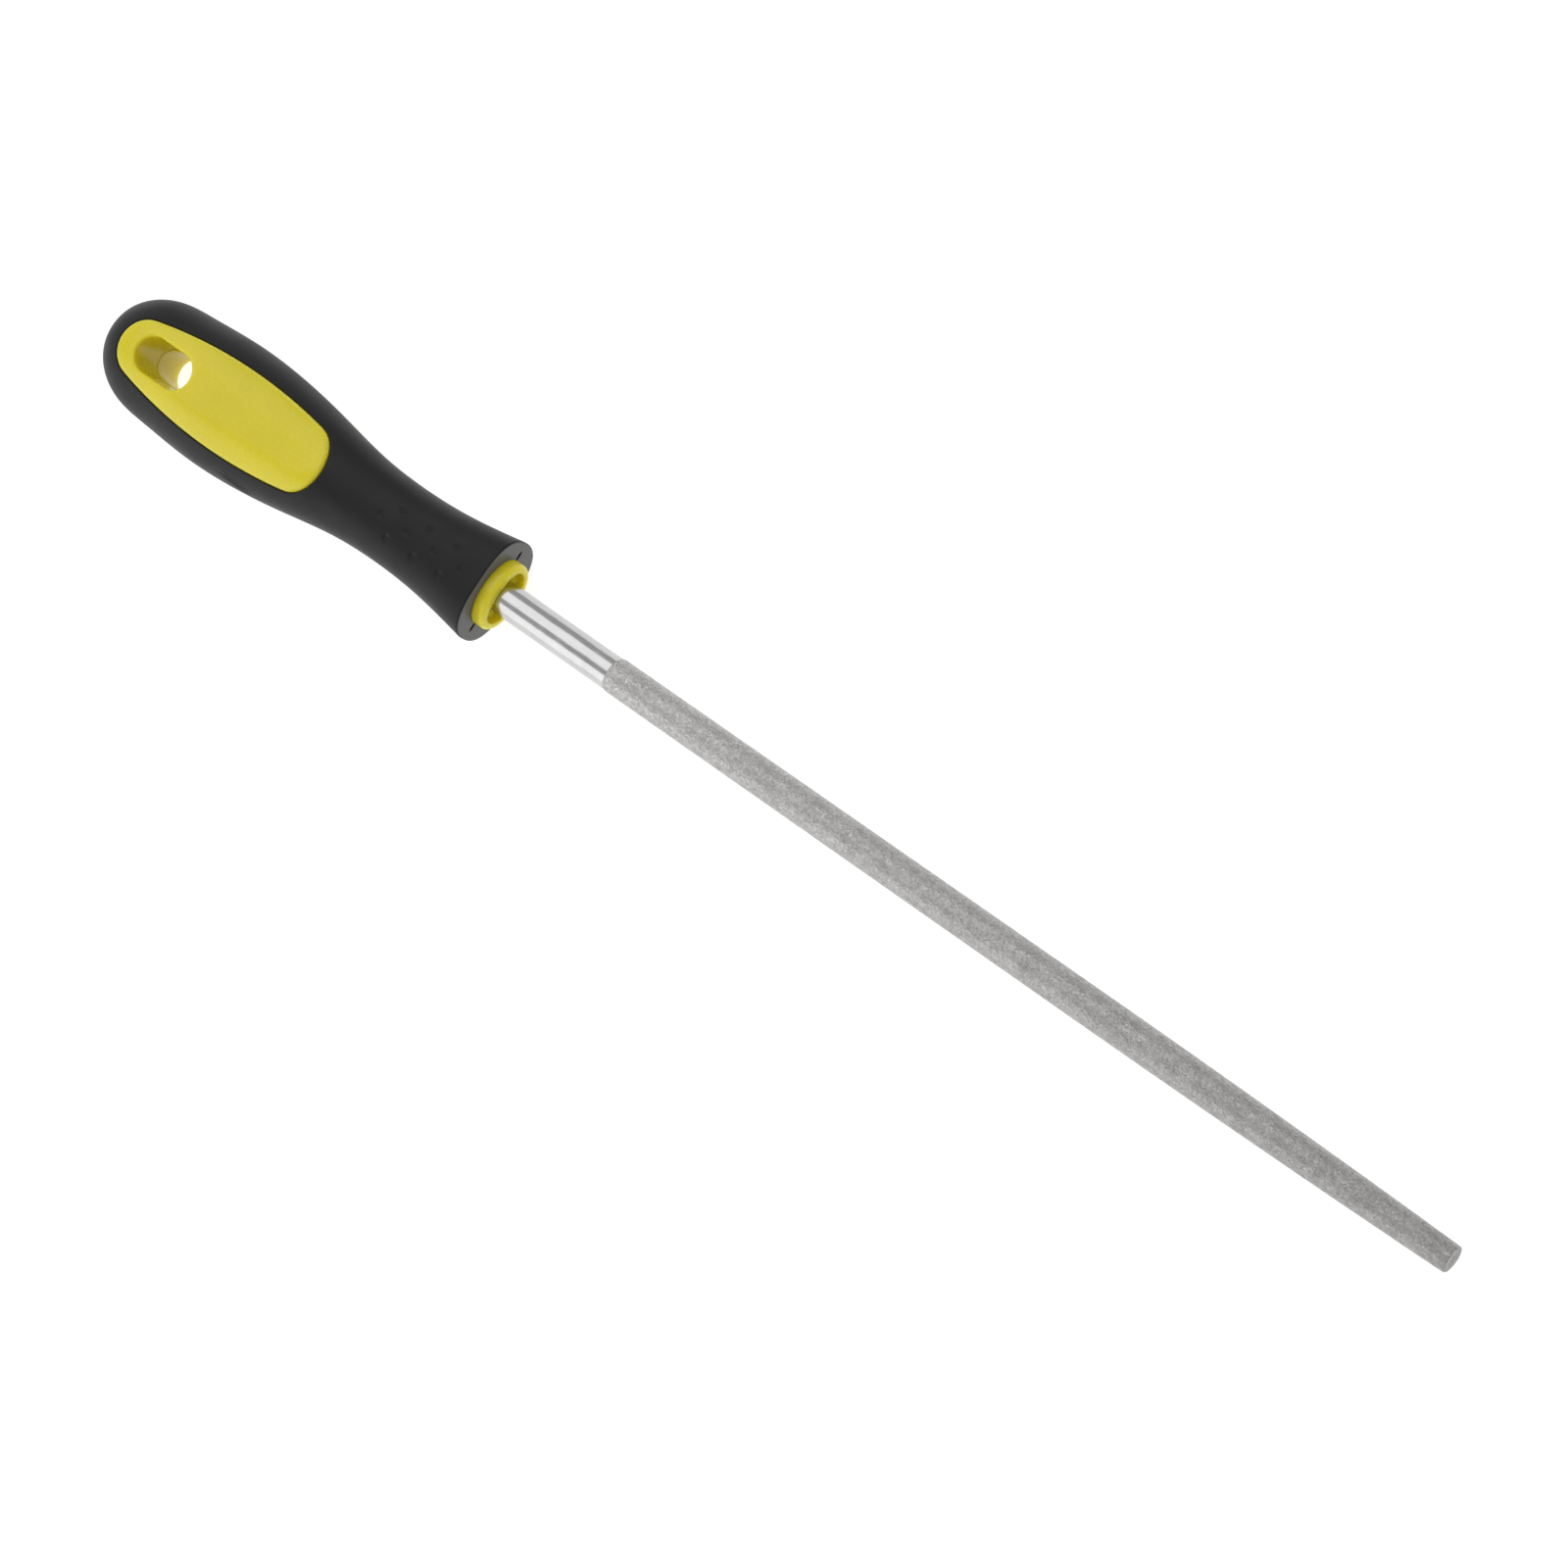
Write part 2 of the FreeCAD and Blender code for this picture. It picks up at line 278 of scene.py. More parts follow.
def window_loop(nose_count, side_count, butt_count):
    """Samples round the window, as rows of arc centre x and y, radius and angle: nose
    circle, side arc, butt circle and the other side arc, anticlockwise from the nose."""
    side_x, side_y, bend = window_arcs()
    nose_turn = math.atan2(-side_y, WINDOW_NOSE_X - side_x)
    butt_turn = math.atan2(-side_y, WINDOW_BUTT_X - side_x)
    full = 2 * math.pi
    arcs = (
        (WINDOW_NOSE_X, 0.0, WINDOW_NOSE_RADIUS, -nose_turn, nose_turn, nose_count),
        (side_x, side_y, bend, nose_turn, butt_turn, side_count),
        (WINDOW_BUTT_X, 0.0, WINDOW_BUTT_RADIUS, butt_turn, full - butt_turn, butt_count),
        (side_x, -side_y, bend, full - butt_turn, full - nose_turn, side_count),
    )
    samples = [
        np.stack([
            np.full(count, centre_x), np.full(count, centre_y), np.full(count, radius),
            np.linspace(start, end, count, endpoint=False),
        ])
        for centre_x, centre_y, radius, start, end, count in arcs
    ]
    return np.concatenate(samples, axis=1)


def offset_loop(loop, grow):
    """Plan points of a window loop moved outwards by grow, along each arc's radius."""
    centre_x, centre_y, radius, angle = loop
    return (
        centre_x + (radius + grow) * np.cos(angle),
        centre_y + (radius + grow) * np.sin(angle),
    )


def racetrack_reach(angle, size, grow=0.0):
    """Distance from a racetrack's middle to its edge at an angle: the straight side's
    half width over the sine, or the far crossing with an end circle."""
    length, width = size
    radius = width / 2 + grow
    centre = (length - width) / 2
    cosine = np.abs(np.cos(angle))
    sine = np.abs(np.sin(angle))
    on_side = radius / np.maximum(sine, 1e-9)
    on_end = centre * cosine + np.sqrt(np.maximum(radius ** 2 - (centre * sine) ** 2, 0))
    return np.where(radius * cosine <= centre * sine, on_side, on_end)


# -------- meshes from grids

def grid_quads(rows, columns, start):
    """Quads of a grid that closes round its columns, with its points numbered along each
    row in turn."""
    row, column = np.meshgrid(np.arange(rows - 1), np.arange(columns), indexing="ij")
    next_column = (column + 1) % columns
    corners = [
        row * columns + column, row * columns + next_column,
        (row + 1) * columns + next_column, (row + 1) * columns + column,
    ]
    return np.stack(corners, axis=-1).reshape(-1, 4) + start


def make_mesh(name, grids, material, node, sharp=math.radians(40)):
    """One piece from grids of points whose rows are rings: doubled points are merged, faces
    turned outwards, and edges sharper than `sharp` left crisp."""
    points, quads, start = [], [], 0
    for grid in grids:
        rows, columns = grid.shape[:2]
        quads.append(grid_quads(rows, columns, start))
        points.append(grid.reshape(-1, 3))
        start += rows * columns
    points = np.concatenate(points) * MM + NOSE_ORIGIN
    quads = np.concatenate(quads)
    mesh = bpy.data.meshes.new(name)
    mesh.vertices.add(len(points))
    mesh.vertices.foreach_set("co", points.astype(np.float32).ravel())
    mesh.loops.add(len(quads) * 4)
    mesh.loops.foreach_set("vertex_index", quads.astype(np.int32).ravel())
    mesh.polygons.add(len(quads))
    mesh.polygons.foreach_set("loop_start", np.arange(0, len(quads) * 4, 4, dtype=np.int32))
    mesh.update()
    work = bmesh.new()
    work.from_mesh(mesh)
    bmesh.ops.remove_doubles(work, verts=work.verts, dist=1e-6)
    bmesh.ops.dissolve_degenerate(work, edges=work.edges, dist=1e-7)
    bmesh.ops.recalc_face_normals(work, faces=work.faces)
    work.to_mesh(mesh)
    work.free()
    mesh.polygons.foreach_set("use_smooth", np.ones(len(mesh.polygons), dtype=bool))
    mesh.set_sharp_from_angle(angle=sharp)
    mesh.materials.append(material)
    mesh.validate()
    piece = bpy.data.objects.new(name, mesh)
    bpy.context.scene.collection.objects.link(piece)
    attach(piece, "root")
    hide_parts(node)
    return piece


def turned(x, radius, count, squareness=2.0):
    """Rows of points round the axis: each row has its own x and radius. With squareness
    above 2 the circle becomes a superellipse with that power, up to nearly a square."""
    angle = np.linspace(0, 2 * np.pi, count, endpoint=False)
    power = np.broadcast_to(np.asarray(squareness, float)[..., None], (len(x), 1))
    swell = (np.abs(np.cos(angle)) ** power + np.abs(np.sin(angle)) ** power) ** (-1 / power)
    reach = np.asarray(radius, float)
    reach = reach[:, None] if reach.ndim == 1 else reach
    reach = reach * swell
    return np.stack([
        np.broadcast_to(np.asarray(x, float)[:, None], reach.shape),
        reach * np.cos(angle), reach * np.sin(angle),
    ], axis=-1)


# -------- materials

def add_node(tree, kind, inputs=None, **settings):
    """A node of the given kind with its settings, and its inputs as values or links."""
    made = tree.nodes.new(kind)
    for name, value in settings.items():
        setattr(made, name, value)
    for name, value in (inputs or {}).items():
        if isinstance(value, bpy.types.NodeSocket):
            tree.links.new(value, made.inputs[name])
        else:
            made.inputs[name].default_value = value
    return made


def start_material(name):
    """Empty node material: its tree and its object coordinates."""
    material = bpy.data.materials.new(name)
    material.use_nodes = True
    tree = material.node_tree
    tree.nodes.clear()
    place = add_node(tree, "ShaderNodeTexCoord").outputs["Object"]
    return material, tree, place


def stretch(tree, place, scale):
    """Coordinates scaled along X, Y and Z."""
    return add_node(tree, "ShaderNodeMapping", {"Vector": place, "Scale": scale}).outputs["Vector"]


def noise(tree, place, scale, detail=3.0, roughness=0.5):
    """Fractal noise from about 0 to 1."""
    return add_node(tree, "ShaderNodeTexNoise", {
        "Vector": place, "Scale": scale, "Detail": detail, "Roughness": roughness,
    }).outputs["Fac"]


def remap(tree, value, low, high, to_low, to_high):
    """Value moved from one range to another, and held at its ends."""
    return add_node(tree, "ShaderNodeMapRange", {
        "Value": value, "From Min": low, "From Max": high, "To Min": to_low, "To Max": to_high,
    }).outputs["Result"]


def maths(tree, operation, first, second):
    """Two values combined."""
    made = add_node(tree, "ShaderNodeMath", operation=operation)
    for socket, value in zip(made.inputs, (first, second)):
        if isinstance(value, bpy.types.NodeSocket):
            tree.links.new(value, socket)
        else:
            socket.default_value = value
    return made.outputs[0]


def mix_colours(tree, share, first, second, blend="MIX"):
    """Two colours mixed by share."""
    made = add_node(tree, "ShaderNodeMix", data_type="RGBA", blend_type=blend)
    for index, value in ((0, share), (6, first), (7, second)):
        if isinstance(value, bpy.types.NodeSocket):
            tree.links.new(value, made.inputs[index])
        else:
            made.inputs[index].default_value = value
    return made.outputs[2]


def bump(tree, height, distance, strength=1.0, under=None):
    """Normal from a height, on top of another bump if one is given."""
    inputs = {"Height": height, "Distance": distance, "Strength": strength}
    if under is not None:
        inputs["Normal"] = under
    return add_node(tree, "ShaderNodeBump", inputs).outputs["Normal"]


def finish_material(tree, inputs):
    """Principled surface with these inputs, joined to the output."""
    surface = add_node(tree, "ShaderNodeBsdfPrincipled", inputs)
    add_node(tree, "ShaderNodeOutputMaterial", {"Surface": surface.outputs["BSDF"]})


def shade(colour, factor):
    """Colour made lighter or darker, with full alpha."""
    return tuple(channel * factor for channel in colour[:3]) + (1.0,)


def polished_steel(finish):
    """Bright plated bar: long drawn ripples, faint scratches and cloudy gloss."""
    material, tree, place = start_material("polished_steel")
    drawn = stretch(tree, place, (0.12, 1.0, 1.0))
    ripple = noise(tree, drawn, 900.0, 2.0)
    cloud = noise(tree, place, 260.0, 4.0, 0.6)
    pits = noise(tree, place, 2600.0, 2.0)
    scratch = noise(tree, stretch(tree, place, (0.05, 1.0, 1.0)), 9000.0, 1.0)
    colour = mix_colours(tree, cloud, shade(finish.steel, 0.82), shade(finish.steel, 1.1))
    normal = bump(tree, ripple, 0.000034)
    normal = bump(tree, pits, 0.000009, 1.0, normal)
    normal = bump(tree, scratch, 0.000001, 1.0, normal)
    finish_material(tree, {
        "Base Color": colour,
        "Metallic": 1.0,
        "Roughness": remap(tree, cloud, 0.3, 0.7, 0.13, 0.24),
        "Normal": normal,
    })
    return material


def grit_plating(finish):
    """Abrasive grains in dull plating: each grain has its own brightness and gloss, and the
    layer gets darker and coarser towards the tip."""
    material, tree, place = start_material("grit_plating")
    grain = add_node(tree, "ShaderNodeTexVoronoi", {"Vector": place, "Scale": 2300.0})
    fine = add_node(tree, "ShaderNodeTexVoronoi", {"Vector": place, "Scale": 5200.0})
    tone = add_node(tree, "ShaderNodeSeparateColor", {"Color": grain.outputs["Color"]})
    cloud = noise(tree, place, 320.0, 3.0)
    along = add_node(tree, "ShaderNodeSeparateXYZ", {"Vector": place}).outputs["X"]
    heel = NOSE_ORIGIN[0] + GRIT_START * MM
    tip = NOSE_ORIGIN[0] + TIP_X * MM
    # Grit colour gets darker from the heel to the tip, down to the tip shade.
    tipward_darkening = remap(tree, along, heel, tip, 1.0, finish.tip_shade)
    colour = mix_colours(
        tree, remap(tree, tone.outputs["Red"], 0.1, 0.95, 0.0, 1.0),
        shade(finish.grit, 0.84), shade(finish.grit, 1.18),
    )
    tint = mix_colours(
        tree, remap(tree, tone.outputs["Green"], 0.0, 1.0, 0.0, 0.5),
        (1.0, 0.985, 0.96, 1.0), (0.96, 0.985, 1.0, 1.0),
    )
    colour = mix_colours(tree, 1.0, colour, tint, "MULTIPLY")
    cloudy = maths(tree, "MULTIPLY", tipward_darkening, remap(tree, cloud, 0.3, 0.7, 0.92, 1.08))
    grey = add_node(
        tree, "ShaderNodeCombineColor", {"Red": cloudy, "Green": cloudy, "Blue": cloudy})
    colour = mix_colours(tree, 1.0, colour, grey.outputs["Color"], "MULTIPLY")
    normal = bump(tree, grain.outputs["Distance"], 0.00009)
    normal = bump(tree, fine.outputs["Distance"], 0.00003, 0.7, normal)
    finish_material(tree, {
        "Base Color": colour,
        "Metallic": remap(tree, tone.outputs["Blue"], 0.2, 0.8, 0.35, 0.85),
        "Roughness": remap(tree, tone.outputs["Green"], 0.0, 1.0, 0.28, 0.6),
        "Normal": normal,
    })
    return material


def yellow_moulding(finish):
    """Glossy, slightly see-through yellow plastic with soft flow mottling."""
    material, tree, place = start_material("yellow_moulding")
    flow = noise(tree, stretch(tree, place, (0.5, 1.0, 1.0)), 90.0, 3.0)
    speck = noise(tree, place, 1500.0, 2.0)
    colour = mix_colours(
        tree, remap(tree, flow, 0.3, 0.7, 0.0, 1.0),
        shade(finish.yellow, 0.96), shade(finish.yellow, 1.03),
    )
    normal = bump(tree, noise(tree, place, 180.0, 2.0), 0.00002)
    normal = bump(tree, speck, 0.000003, 1.0, normal)
    finish_material(tree, {
        "Base Color": colour,
        "Roughness": remap(tree, speck, 0.3, 0.7, 0.2, 0.3),
        "Subsurface Weight": 0.65,
        "Subsurface Radius": (1.0, 0.8, 0.08),
        "Subsurface Scale": 0.004,
        "Specular IOR Level": 0.45,
        "IOR": 1.48,
        "Normal": normal,
    })
    return material


def black_rubber(finish):
    """Soft satin rubber with a fine moulded grain, and a smoother nose face. The nose face's
    lighter grey colour is painted light for the light and sheen that it catches.
    """
    material, tree, place = start_material("black_rubber")
    grain = noise(tree, place, 5200.0, 2.0)
    cloud = noise(tree, place, 120.0, 4.0, 0.6)
    along = add_node(tree, "ShaderNodeSeparateXYZ", {"Vector": place}).outputs["X"]
    face = remap(tree, along, NOSE_ORIGIN[0] - 0.12 * MM, NOSE_ORIGIN[0] - 0.02 * MM, 0.0, 1.0)
    satin = remap(tree, cloud, 0.25, 0.75, 0.44, 0.56)
    smooth = maths(tree, "MULTIPLY", face, -0.2)
    colour = mix_colours(
        tree, remap(tree, cloud, 0.3, 0.7, 0.0, 1.0),
        shade(finish.rubber, 0.9), shade(finish.rubber, 1.15),
    )
    # Painted light: the nose face gets a lighter grey base colour for the light and sheen that it
    # catches as it turns towards the lamps.
    colour = mix_colours(tree, face, colour, shade(finish.nose_face_painted_light, 1.0))
    normal = bump(tree, grain, 0.000012)
    finish_material(tree, {
        "Base Color": colour,
        "Roughness": maths(tree, "ADD", satin, smooth),
        "Specular IOR Level": 0.3,
        "IOR": 1.5,
        "Normal": normal,
    })
    return material


# -------- file

def file_radius(x, radius, tip_radius, tip_x, edge_round):
    """Radius along the bar: parallel, then an arc that leaves it smoothly, then the tip's
    rounded edge, which is a quarter circle."""
    side_end = tip_x - edge_round
    length = side_end - TAPER_START
    drop = radius - tip_radius
    bend = (length ** 2 + drop ** 2) / (2 * drop)
    past = np.clip(x - TAPER_START, 0, length)
    taper = radius - bend + np.sqrt(bend ** 2 - past ** 2)
    round_in = np.clip(x - side_end, 0, edge_round)
    return taper - edge_round + np.sqrt(np.maximum(edge_round ** 2 - round_in ** 2, 0))


def bar_grid(settings):
    """Steel bar as rows round its axis: square tang, shoulder, rippled shank and the plain
    core under the grit, closed at both ends."""
    tang_x = np.array([TANG_END, TANG_END, TANG_END + 1.0, -20.0, -SHOULDER_DEPTH])
    tang_half = np.array([
        0.0, TANG_END_SIDE / 2, TANG_END_SIDE / 2 + 0.05, 2.3, TANG_ROOT_SIDE / 2,
    ])
    tang = turned(tang_x, tang_half, BAR_COLUMNS, np.full(len(tang_x), TANG_SQUARENESS))
    shoulder = turned(
        np.array([-SHOULDER_DEPTH, -SHOULDER_DEPTH + SHOULDER_CHAMFER]),
        np.array([SHANK_RADIUS - SHOULDER_CHAMFER, SHANK_RADIUS]), BAR_COLUMNS,
    )
    shank_x = np.linspace(-SHOULDER_DEPTH + 0.6, GRIT_START + 0.6, SHANK_ROWS)
    long_wave = round_noise(shank_x, BAR_COLUMNS, LONG_RIPPLE)
    short_wave = round_noise(shank_x, BAR_COLUMNS, SHORT_RIPPLE)
    dip = settings.ripple_depth / MM * (0.55 * long_wave + 0.45 * short_wave)
    shank = turned(shank_x, SHANK_RADIUS - dip, BAR_COLUMNS)
    under_x = np.concatenate([
        np.linspace(GRIT_START + 2.0, TAPER_START, 12), np.linspace(TAPER_START + 4, TIP_X - 1, 20),
    ])
    under_tip = TIP_X - GRIT_THICKNESS - SKIN_CLEARANCE
    edge_x = under_tip - BARE_TIP_ROUND * (1 - np.sin(np.linspace(0, np.pi / 2, 4)))
    under_x = np.concatenate([under_x, edge_x])
    radius = file_radius(
        under_x, SHANK_RADIUS - SKIN_CLEARANCE, TIP_RADIUS - GRIT_THICKNESS - SKIN_CLEARANCE,
        under_tip, BARE_TIP_ROUND,
    )
    under = turned(under_x, radius, BAR_COLUMNS)
    tip = turned(np.array([under_tip]), np.array([0.0]), BAR_COLUMNS)
    return np.concatenate([tang, shoulder, shank, under, tip])


def grit_grid(settings):
    """Grit layer as rows round the axis: a plain inner skin, the rounded heel, the grainy
    outside and the grainy tip face. Grains are noise about as wide as a grain, taken
    inwards from the full radius, and they are rougher near the tip."""
    inner_x = np.concatenate([
        np.linspace(TIP_X - 1.0, TAPER_START, 12), np.linspace(TAPER_START - 10, GRIT_START, 5),
    ])
    under_tip = TIP_X - GRIT_THICKNESS
    inner_radius = file_radius(
        inner_x, SHANK_RADIUS - 0.005, TIP_RADIUS - GRIT_THICKNESS, under_tip, BARE_TIP_ROUND,
    )
    end_x = np.array([under_tip, under_tip, under_tip - 0.1])
    end_radius = np.array([0.0, TIP_RADIUS - 0.5, TIP_RADIUS - 0.3])
    inner = turned(
        np.concatenate([end_x, inner_x]), np.concatenate([end_radius, inner_radius]), GRIT_COLUMNS,
    )
    outer_x = np.linspace(GRIT_START, TIP_X - TIP_EDGE_ROUND, GRIT_ROWS)
    edge_turn = np.linspace(0, np.pi / 2, 5)[1:]
    edge_x = TIP_X - TIP_EDGE_ROUND * (1 - np.sin(edge_turn))
    x = np.concatenate([outer_x, edge_x])
    radius = file_radius(x, COAT_RADIUS, TIP_RADIUS, TIP_X, TIP_EDGE_ROUND)
    heel = 1 - np.clip((x - GRIT_START) / HEEL_LENGTH, 0, 1)
    radius = radius - GRIT_THICKNESS * 0.8 * heel ** 2
    rng = np.random.default_rng(settings.grain_seed)
    grains = rng.random((len(x), GRIT_COLUMNS))
    grains = 0.5 * grains + 0.25 * (np.roll(grains, 1, 1) + np.roll(grains, 1, 0))
    coarse = round_noise(x, GRIT_COLUMNS, COARSE_GRAIN)
    rougher = 1 + 0.9 * smooth_step(x, TIP_X - ROUGH_LENGTH, TIP_X)
    depth = settings.grain_depth / MM * rougher[:, None]
    outside = turned(x, radius[:, None] - depth * (0.75 * grains + 0.25 * coarse), GRIT_COLUMNS)
    face_radius = np.linspace(TIP_RADIUS - TIP_EDGE_ROUND, 0, 12)[1:]
    face = turned(np.full(len(face_radius), TIP_X), face_radius, GRIT_COLUMNS)
    pitted = rng.random((len(face_radius) - 1, GRIT_COLUMNS))
    face[:-1, :, 0] -= settings.grain_depth / MM * pitted
    return np.concatenate([inner, outside, face])


# -------- rubber sleeve

def silhouette(table, share):
    """Plan points on the form's widest line, from the waist ring's +Y side, round the butt
    to its -Y side, as share runs from 0 to 2 with the butt's pole at 1."""
    steps = np.arange(FORM_STEPS)
    first = np.interp(WAIST_END, table[0], steps)
    at = first + (FORM_STEPS - 1 - first) * (1 - np.abs(1 - share))
    x = -np.interp(at, steps, table[0])
    return x, np.interp(at, steps, table[1]) * np.sign(1 - share)


def outer_loop(table):
    """Plan points at the edge of the window's field, matched to the window's samples: the
    waist ring, then the widest line round the butt."""
    half = RING_COUNT // 2
    turn = ring_turns()[:half]
    width, _, power = section(table, WAIST_END)
    ring_y = width * oval_swell(turn, power) * np.sin(turn)
    steps = np.arange(FORM_STEPS)
    first = np.interp(WAIST_END, table[0], steps)
    corner = (np.interp(SHOULDER_BACK, table[0], steps) - first) / (FORM_STEPS - 1 - first)
    share = np.concatenate([
        np.linspace(0, corner, SIDE_COUNT, endpoint=False),
        np.linspace(corner, 2 - corner, BUTT_COUNT, endpoint=False),
        np.linspace(2 - corner, 2, SIDE_COUNT, endpoint=False),
    ])
    side_x, side_y = silhouette(table, share)
    x = np.concatenate([np.full(half, -WAIST_END), side_x])
    y = np.concatenate([ring_y, side_y])
    flatness = np.concatenate([np.sin(turn) ** 4, np.ones(len(share))])
    return x, y, flatness


def field_rows(table, loop, grow, rows):
    """Points of the form from the window out to the widest line: straight lines in plan,
    with rows closing up by a sine where the form turns over, lifted onto the form."""
    start_x, start_y = offset_loop(loop, grow)
    end_x, end_y, flatness = outer_loop(table)
    u = np.linspace(0, 1, rows)[:, None]
    share = (1 - flatness) * u + flatness * np.sin(np.pi / 2 * u)
    x = start_x + (end_x - start_x) * share
    y = start_y + (end_y - start_y) * share
    z = crown(table, x, y)
    half = RING_COUNT // 2
    z[-1, half:] = 0.0
    z[-1, 0] = 0.0
    return np.stack([x, y, z], axis=-1)


def side_crease(points, settings):
    """Short moulding crease low on the -Y side: a slanting line with a lip above it and a
    groove below it, both bell curves across the line, that fades out at both ends."""
    x, y, z = points[..., 0], points[..., 1], points[..., 2]
    along = smooth_step(x, *CREASE_X) * (1 - smooth_step(x, *CREASE_END_X)) * (y < 0)
    below = np.interp(x, (CREASE_X[0], CREASE_END_X[1]), CREASE_Z) - z
    lip = np.exp(-((below + 0.3) / 0.32) ** 2)
    groove = np.exp(-((below - 0.35) / 0.4) ** 2)
    return settings.crease_depth / MM * along * (groove - 0.5 * lip)


def pushed_in(points, depth):
    """Points moved towards the file's axis by depth."""
    away = points.copy()
    away[..., 0] = 0.0
    length = np.linalg.norm(away, axis=-1, keepdims=True)
    return points - away / np.maximum(length, 1e-9) * depth[..., None]


def window_half(outer, inner, loop, settings):
    """Upper half of the sleeve round a window, from the inner skin's edge up the window's
    wall, over its rounded lip and out over the outer field."""
    lip = settings.lip_radius / MM
    inner_field = field_rows(inner, loop, 0.0, 8)[::-1]
    turn = np.linspace(0, np.pi / 2, 6)
    lip_x, lip_y = offset_loop(loop, lip * (1 - np.cos(turn))[:, None])
    lip_z = crown(outer, lip_x, lip_y) - lip * (1 - np.sin(turn))[:, None]
    lip_rows = np.stack([lip_x, lip_y, lip_z], axis=-1)
    outer_field = field_rows(outer, loop, lip, FIELD_ROWS)
    outer_field = pushed_in(outer_field, side_crease(outer_field, settings))
    return np.concatenate([inner_field, lip_rows, outer_field[1:]])


def dimple_depth(back, across, settings):
    """Depth of the staggered dimples at points behind the nose and across the top: each is
    a round hollow whose depth falls off as one less the squared distance, squared."""
    radius = settings.dimple_radius / MM
    depth = np.zeros(np.broadcast(back, across).shape)
    for row, count in ((-1, 3), (0, 4), (1, 3)):
        first = settings.dimple_first / MM + (settings.dimple_pitch / MM / 2 if row else 0.0)
        for index in range(count):
            centre = first + index * settings.dimple_pitch / MM
            sideways = across - row * settings.dimple_row_spacing / MM
            apart = np.hypot(back - centre, sideways) / radius
            depth = np.maximum(depth, np.clip(1 - apart ** 2, 0, 1) ** 1.5)
    return depth * settings.dimple_depth / MM


def ring_turns():
    """Angles round the handle, from its -Y side over the top."""
    return np.linspace(-np.pi / 2, 3 * np.pi / 2, RING_COUNT, endpoint=False)


def oval_swell(turn, power):
    """Radius of an oval of unit half width and height: the power mean of cosine and sine."""
    return (np.abs(np.cos(turn)) ** power + np.abs(np.sin(turn)) ** power) ** (-1 / power)


def ring_rows(x, half_width, half_height, power=2.0):
    """Oval rows round the axis, each with its own x, half width, half height and power."""
    turn = ring_turns()
    shape = (len(x), 1)
    x, half_width, half_height, power = (
        np.broadcast_to(np.asarray(value, float).reshape(-1, 1), shape)
        for value in (x, half_width, half_height, power)
    )
    swell = oval_swell(turn, power)
    return np.stack([
        x + 0 * swell, half_width * swell * np.sin(turn), half_height * swell * np.cos(turn),
    ], axis=-1)


def waist_grid(outer, inner, settings):
    """Waist and nose of the sleeve, as rows round the axis: the dimpled outside, the
    rounded nose edge, the nose face, the collar's hole and the inner skin back again."""
    back = np.linspace(WAIST_END, NOSE_EDGE_ROUND, 150)
    outside = ring_rows(-back, *section(outer, back))
    depth = dimple_depth(-outside[..., 0], outside[..., 1], settings)
    depth = depth * (np.abs(outside[..., 2]) > 0.5 * outside[..., 2].max(axis=1, keepdims=True))
    outside = pushed_in(outside, depth)
    width, height, power = section(outer, NOSE_EDGE_ROUND)
    turn = np.linspace(0, np.pi / 2, 7)[1:]
    inset = NOSE_EDGE_ROUND * (1 - np.cos(turn))
    edge = ring_rows(-NOSE_EDGE_ROUND * (1 - np.sin(turn)), width - inset, height - inset, power)
    hole = (COLLAR_HALF_WIDTH + COLLAR_CLEARANCE, COLLAR_HALF_HEIGHT + COLLAR_CLEARANCE)
    rim = edge[-1]
    opening = ring_rows([0.0], *hole)[0]
    share = np.linspace(0, 1, 18)[1:, None, None]
    face = rim * (1 - share) + opening * share
    face[..., 0] -= nose_slit(face, settings)
    wall = ring_rows([-1.3, -NOSE_THICKNESS], *hole)
    inner_back = np.linspace(NOSE_THICKNESS, WAIST_END, 24)
    inside = ring_rows(-inner_back, *section(inner, inner_back))
    return np.concatenate([outside, edge, face, wall, inside])


def nose_slit(face, settings):
    """Depth of the two narrow slits in the nose face, one each side of the collar."""
    y, z = np.abs(face[..., 1]), np.abs(face[..., 2])
    narrow = z < settings.slit_width / MM / 2
    near = y < COLLAR_HALF_WIDTH + settings.slit_length / MM
    return settings.slit_depth / MM * (narrow & near)


def sleeve_grids(settings):
    """The whole rubber sleeve: the waist, and the two mirrored halves round the windows."""
    outer = form_table(-SKIN_CLEARANCE)
    inner = form_table(-RUBBER_THICKNESS)
    loop = window_loop(RING_COUNT // 2, SIDE_COUNT, BUTT_COUNT)
    upper = window_half(outer, inner, loop, settings)
    lower = upper * np.array([1.0, 1.0, -1.0])
    return [waist_grid(outer, inner, settings), upper, lower]


# -------- plastic core

def pad_height(x, y):
    """Pad's surface: the form grown to stand proud, eased down to a long flat facet on its
    middle, and never above the level that the handle rests on."""
    table = form_table(WINDOW_PROUD)
    top = crown(table, x, y)
    ridge = np.interp(-x, table[0], table[2])
    facet = smooth_step(x, *FACET_X) * (1 - smooth_step(x, *FACET_END_X))
    top = soft_least(top, ridge * (1 - FACET_CUT * facet) + 0.4 * (1 - facet), FACET_EASE)
    return soft_least(top, REST_HALF_HEIGHT - SKIN_CLEARANCE, REST_EASE)


def slot_ring(angle, size, height, grow=0.0):
    """Racetrack ring of the hang slot at the given angles round its middle."""
    reach = racetrack_reach(angle, size, grow)
    return SLOT_X + reach * np.cos(angle), reach * np.sin(angle), height + 0 * angle


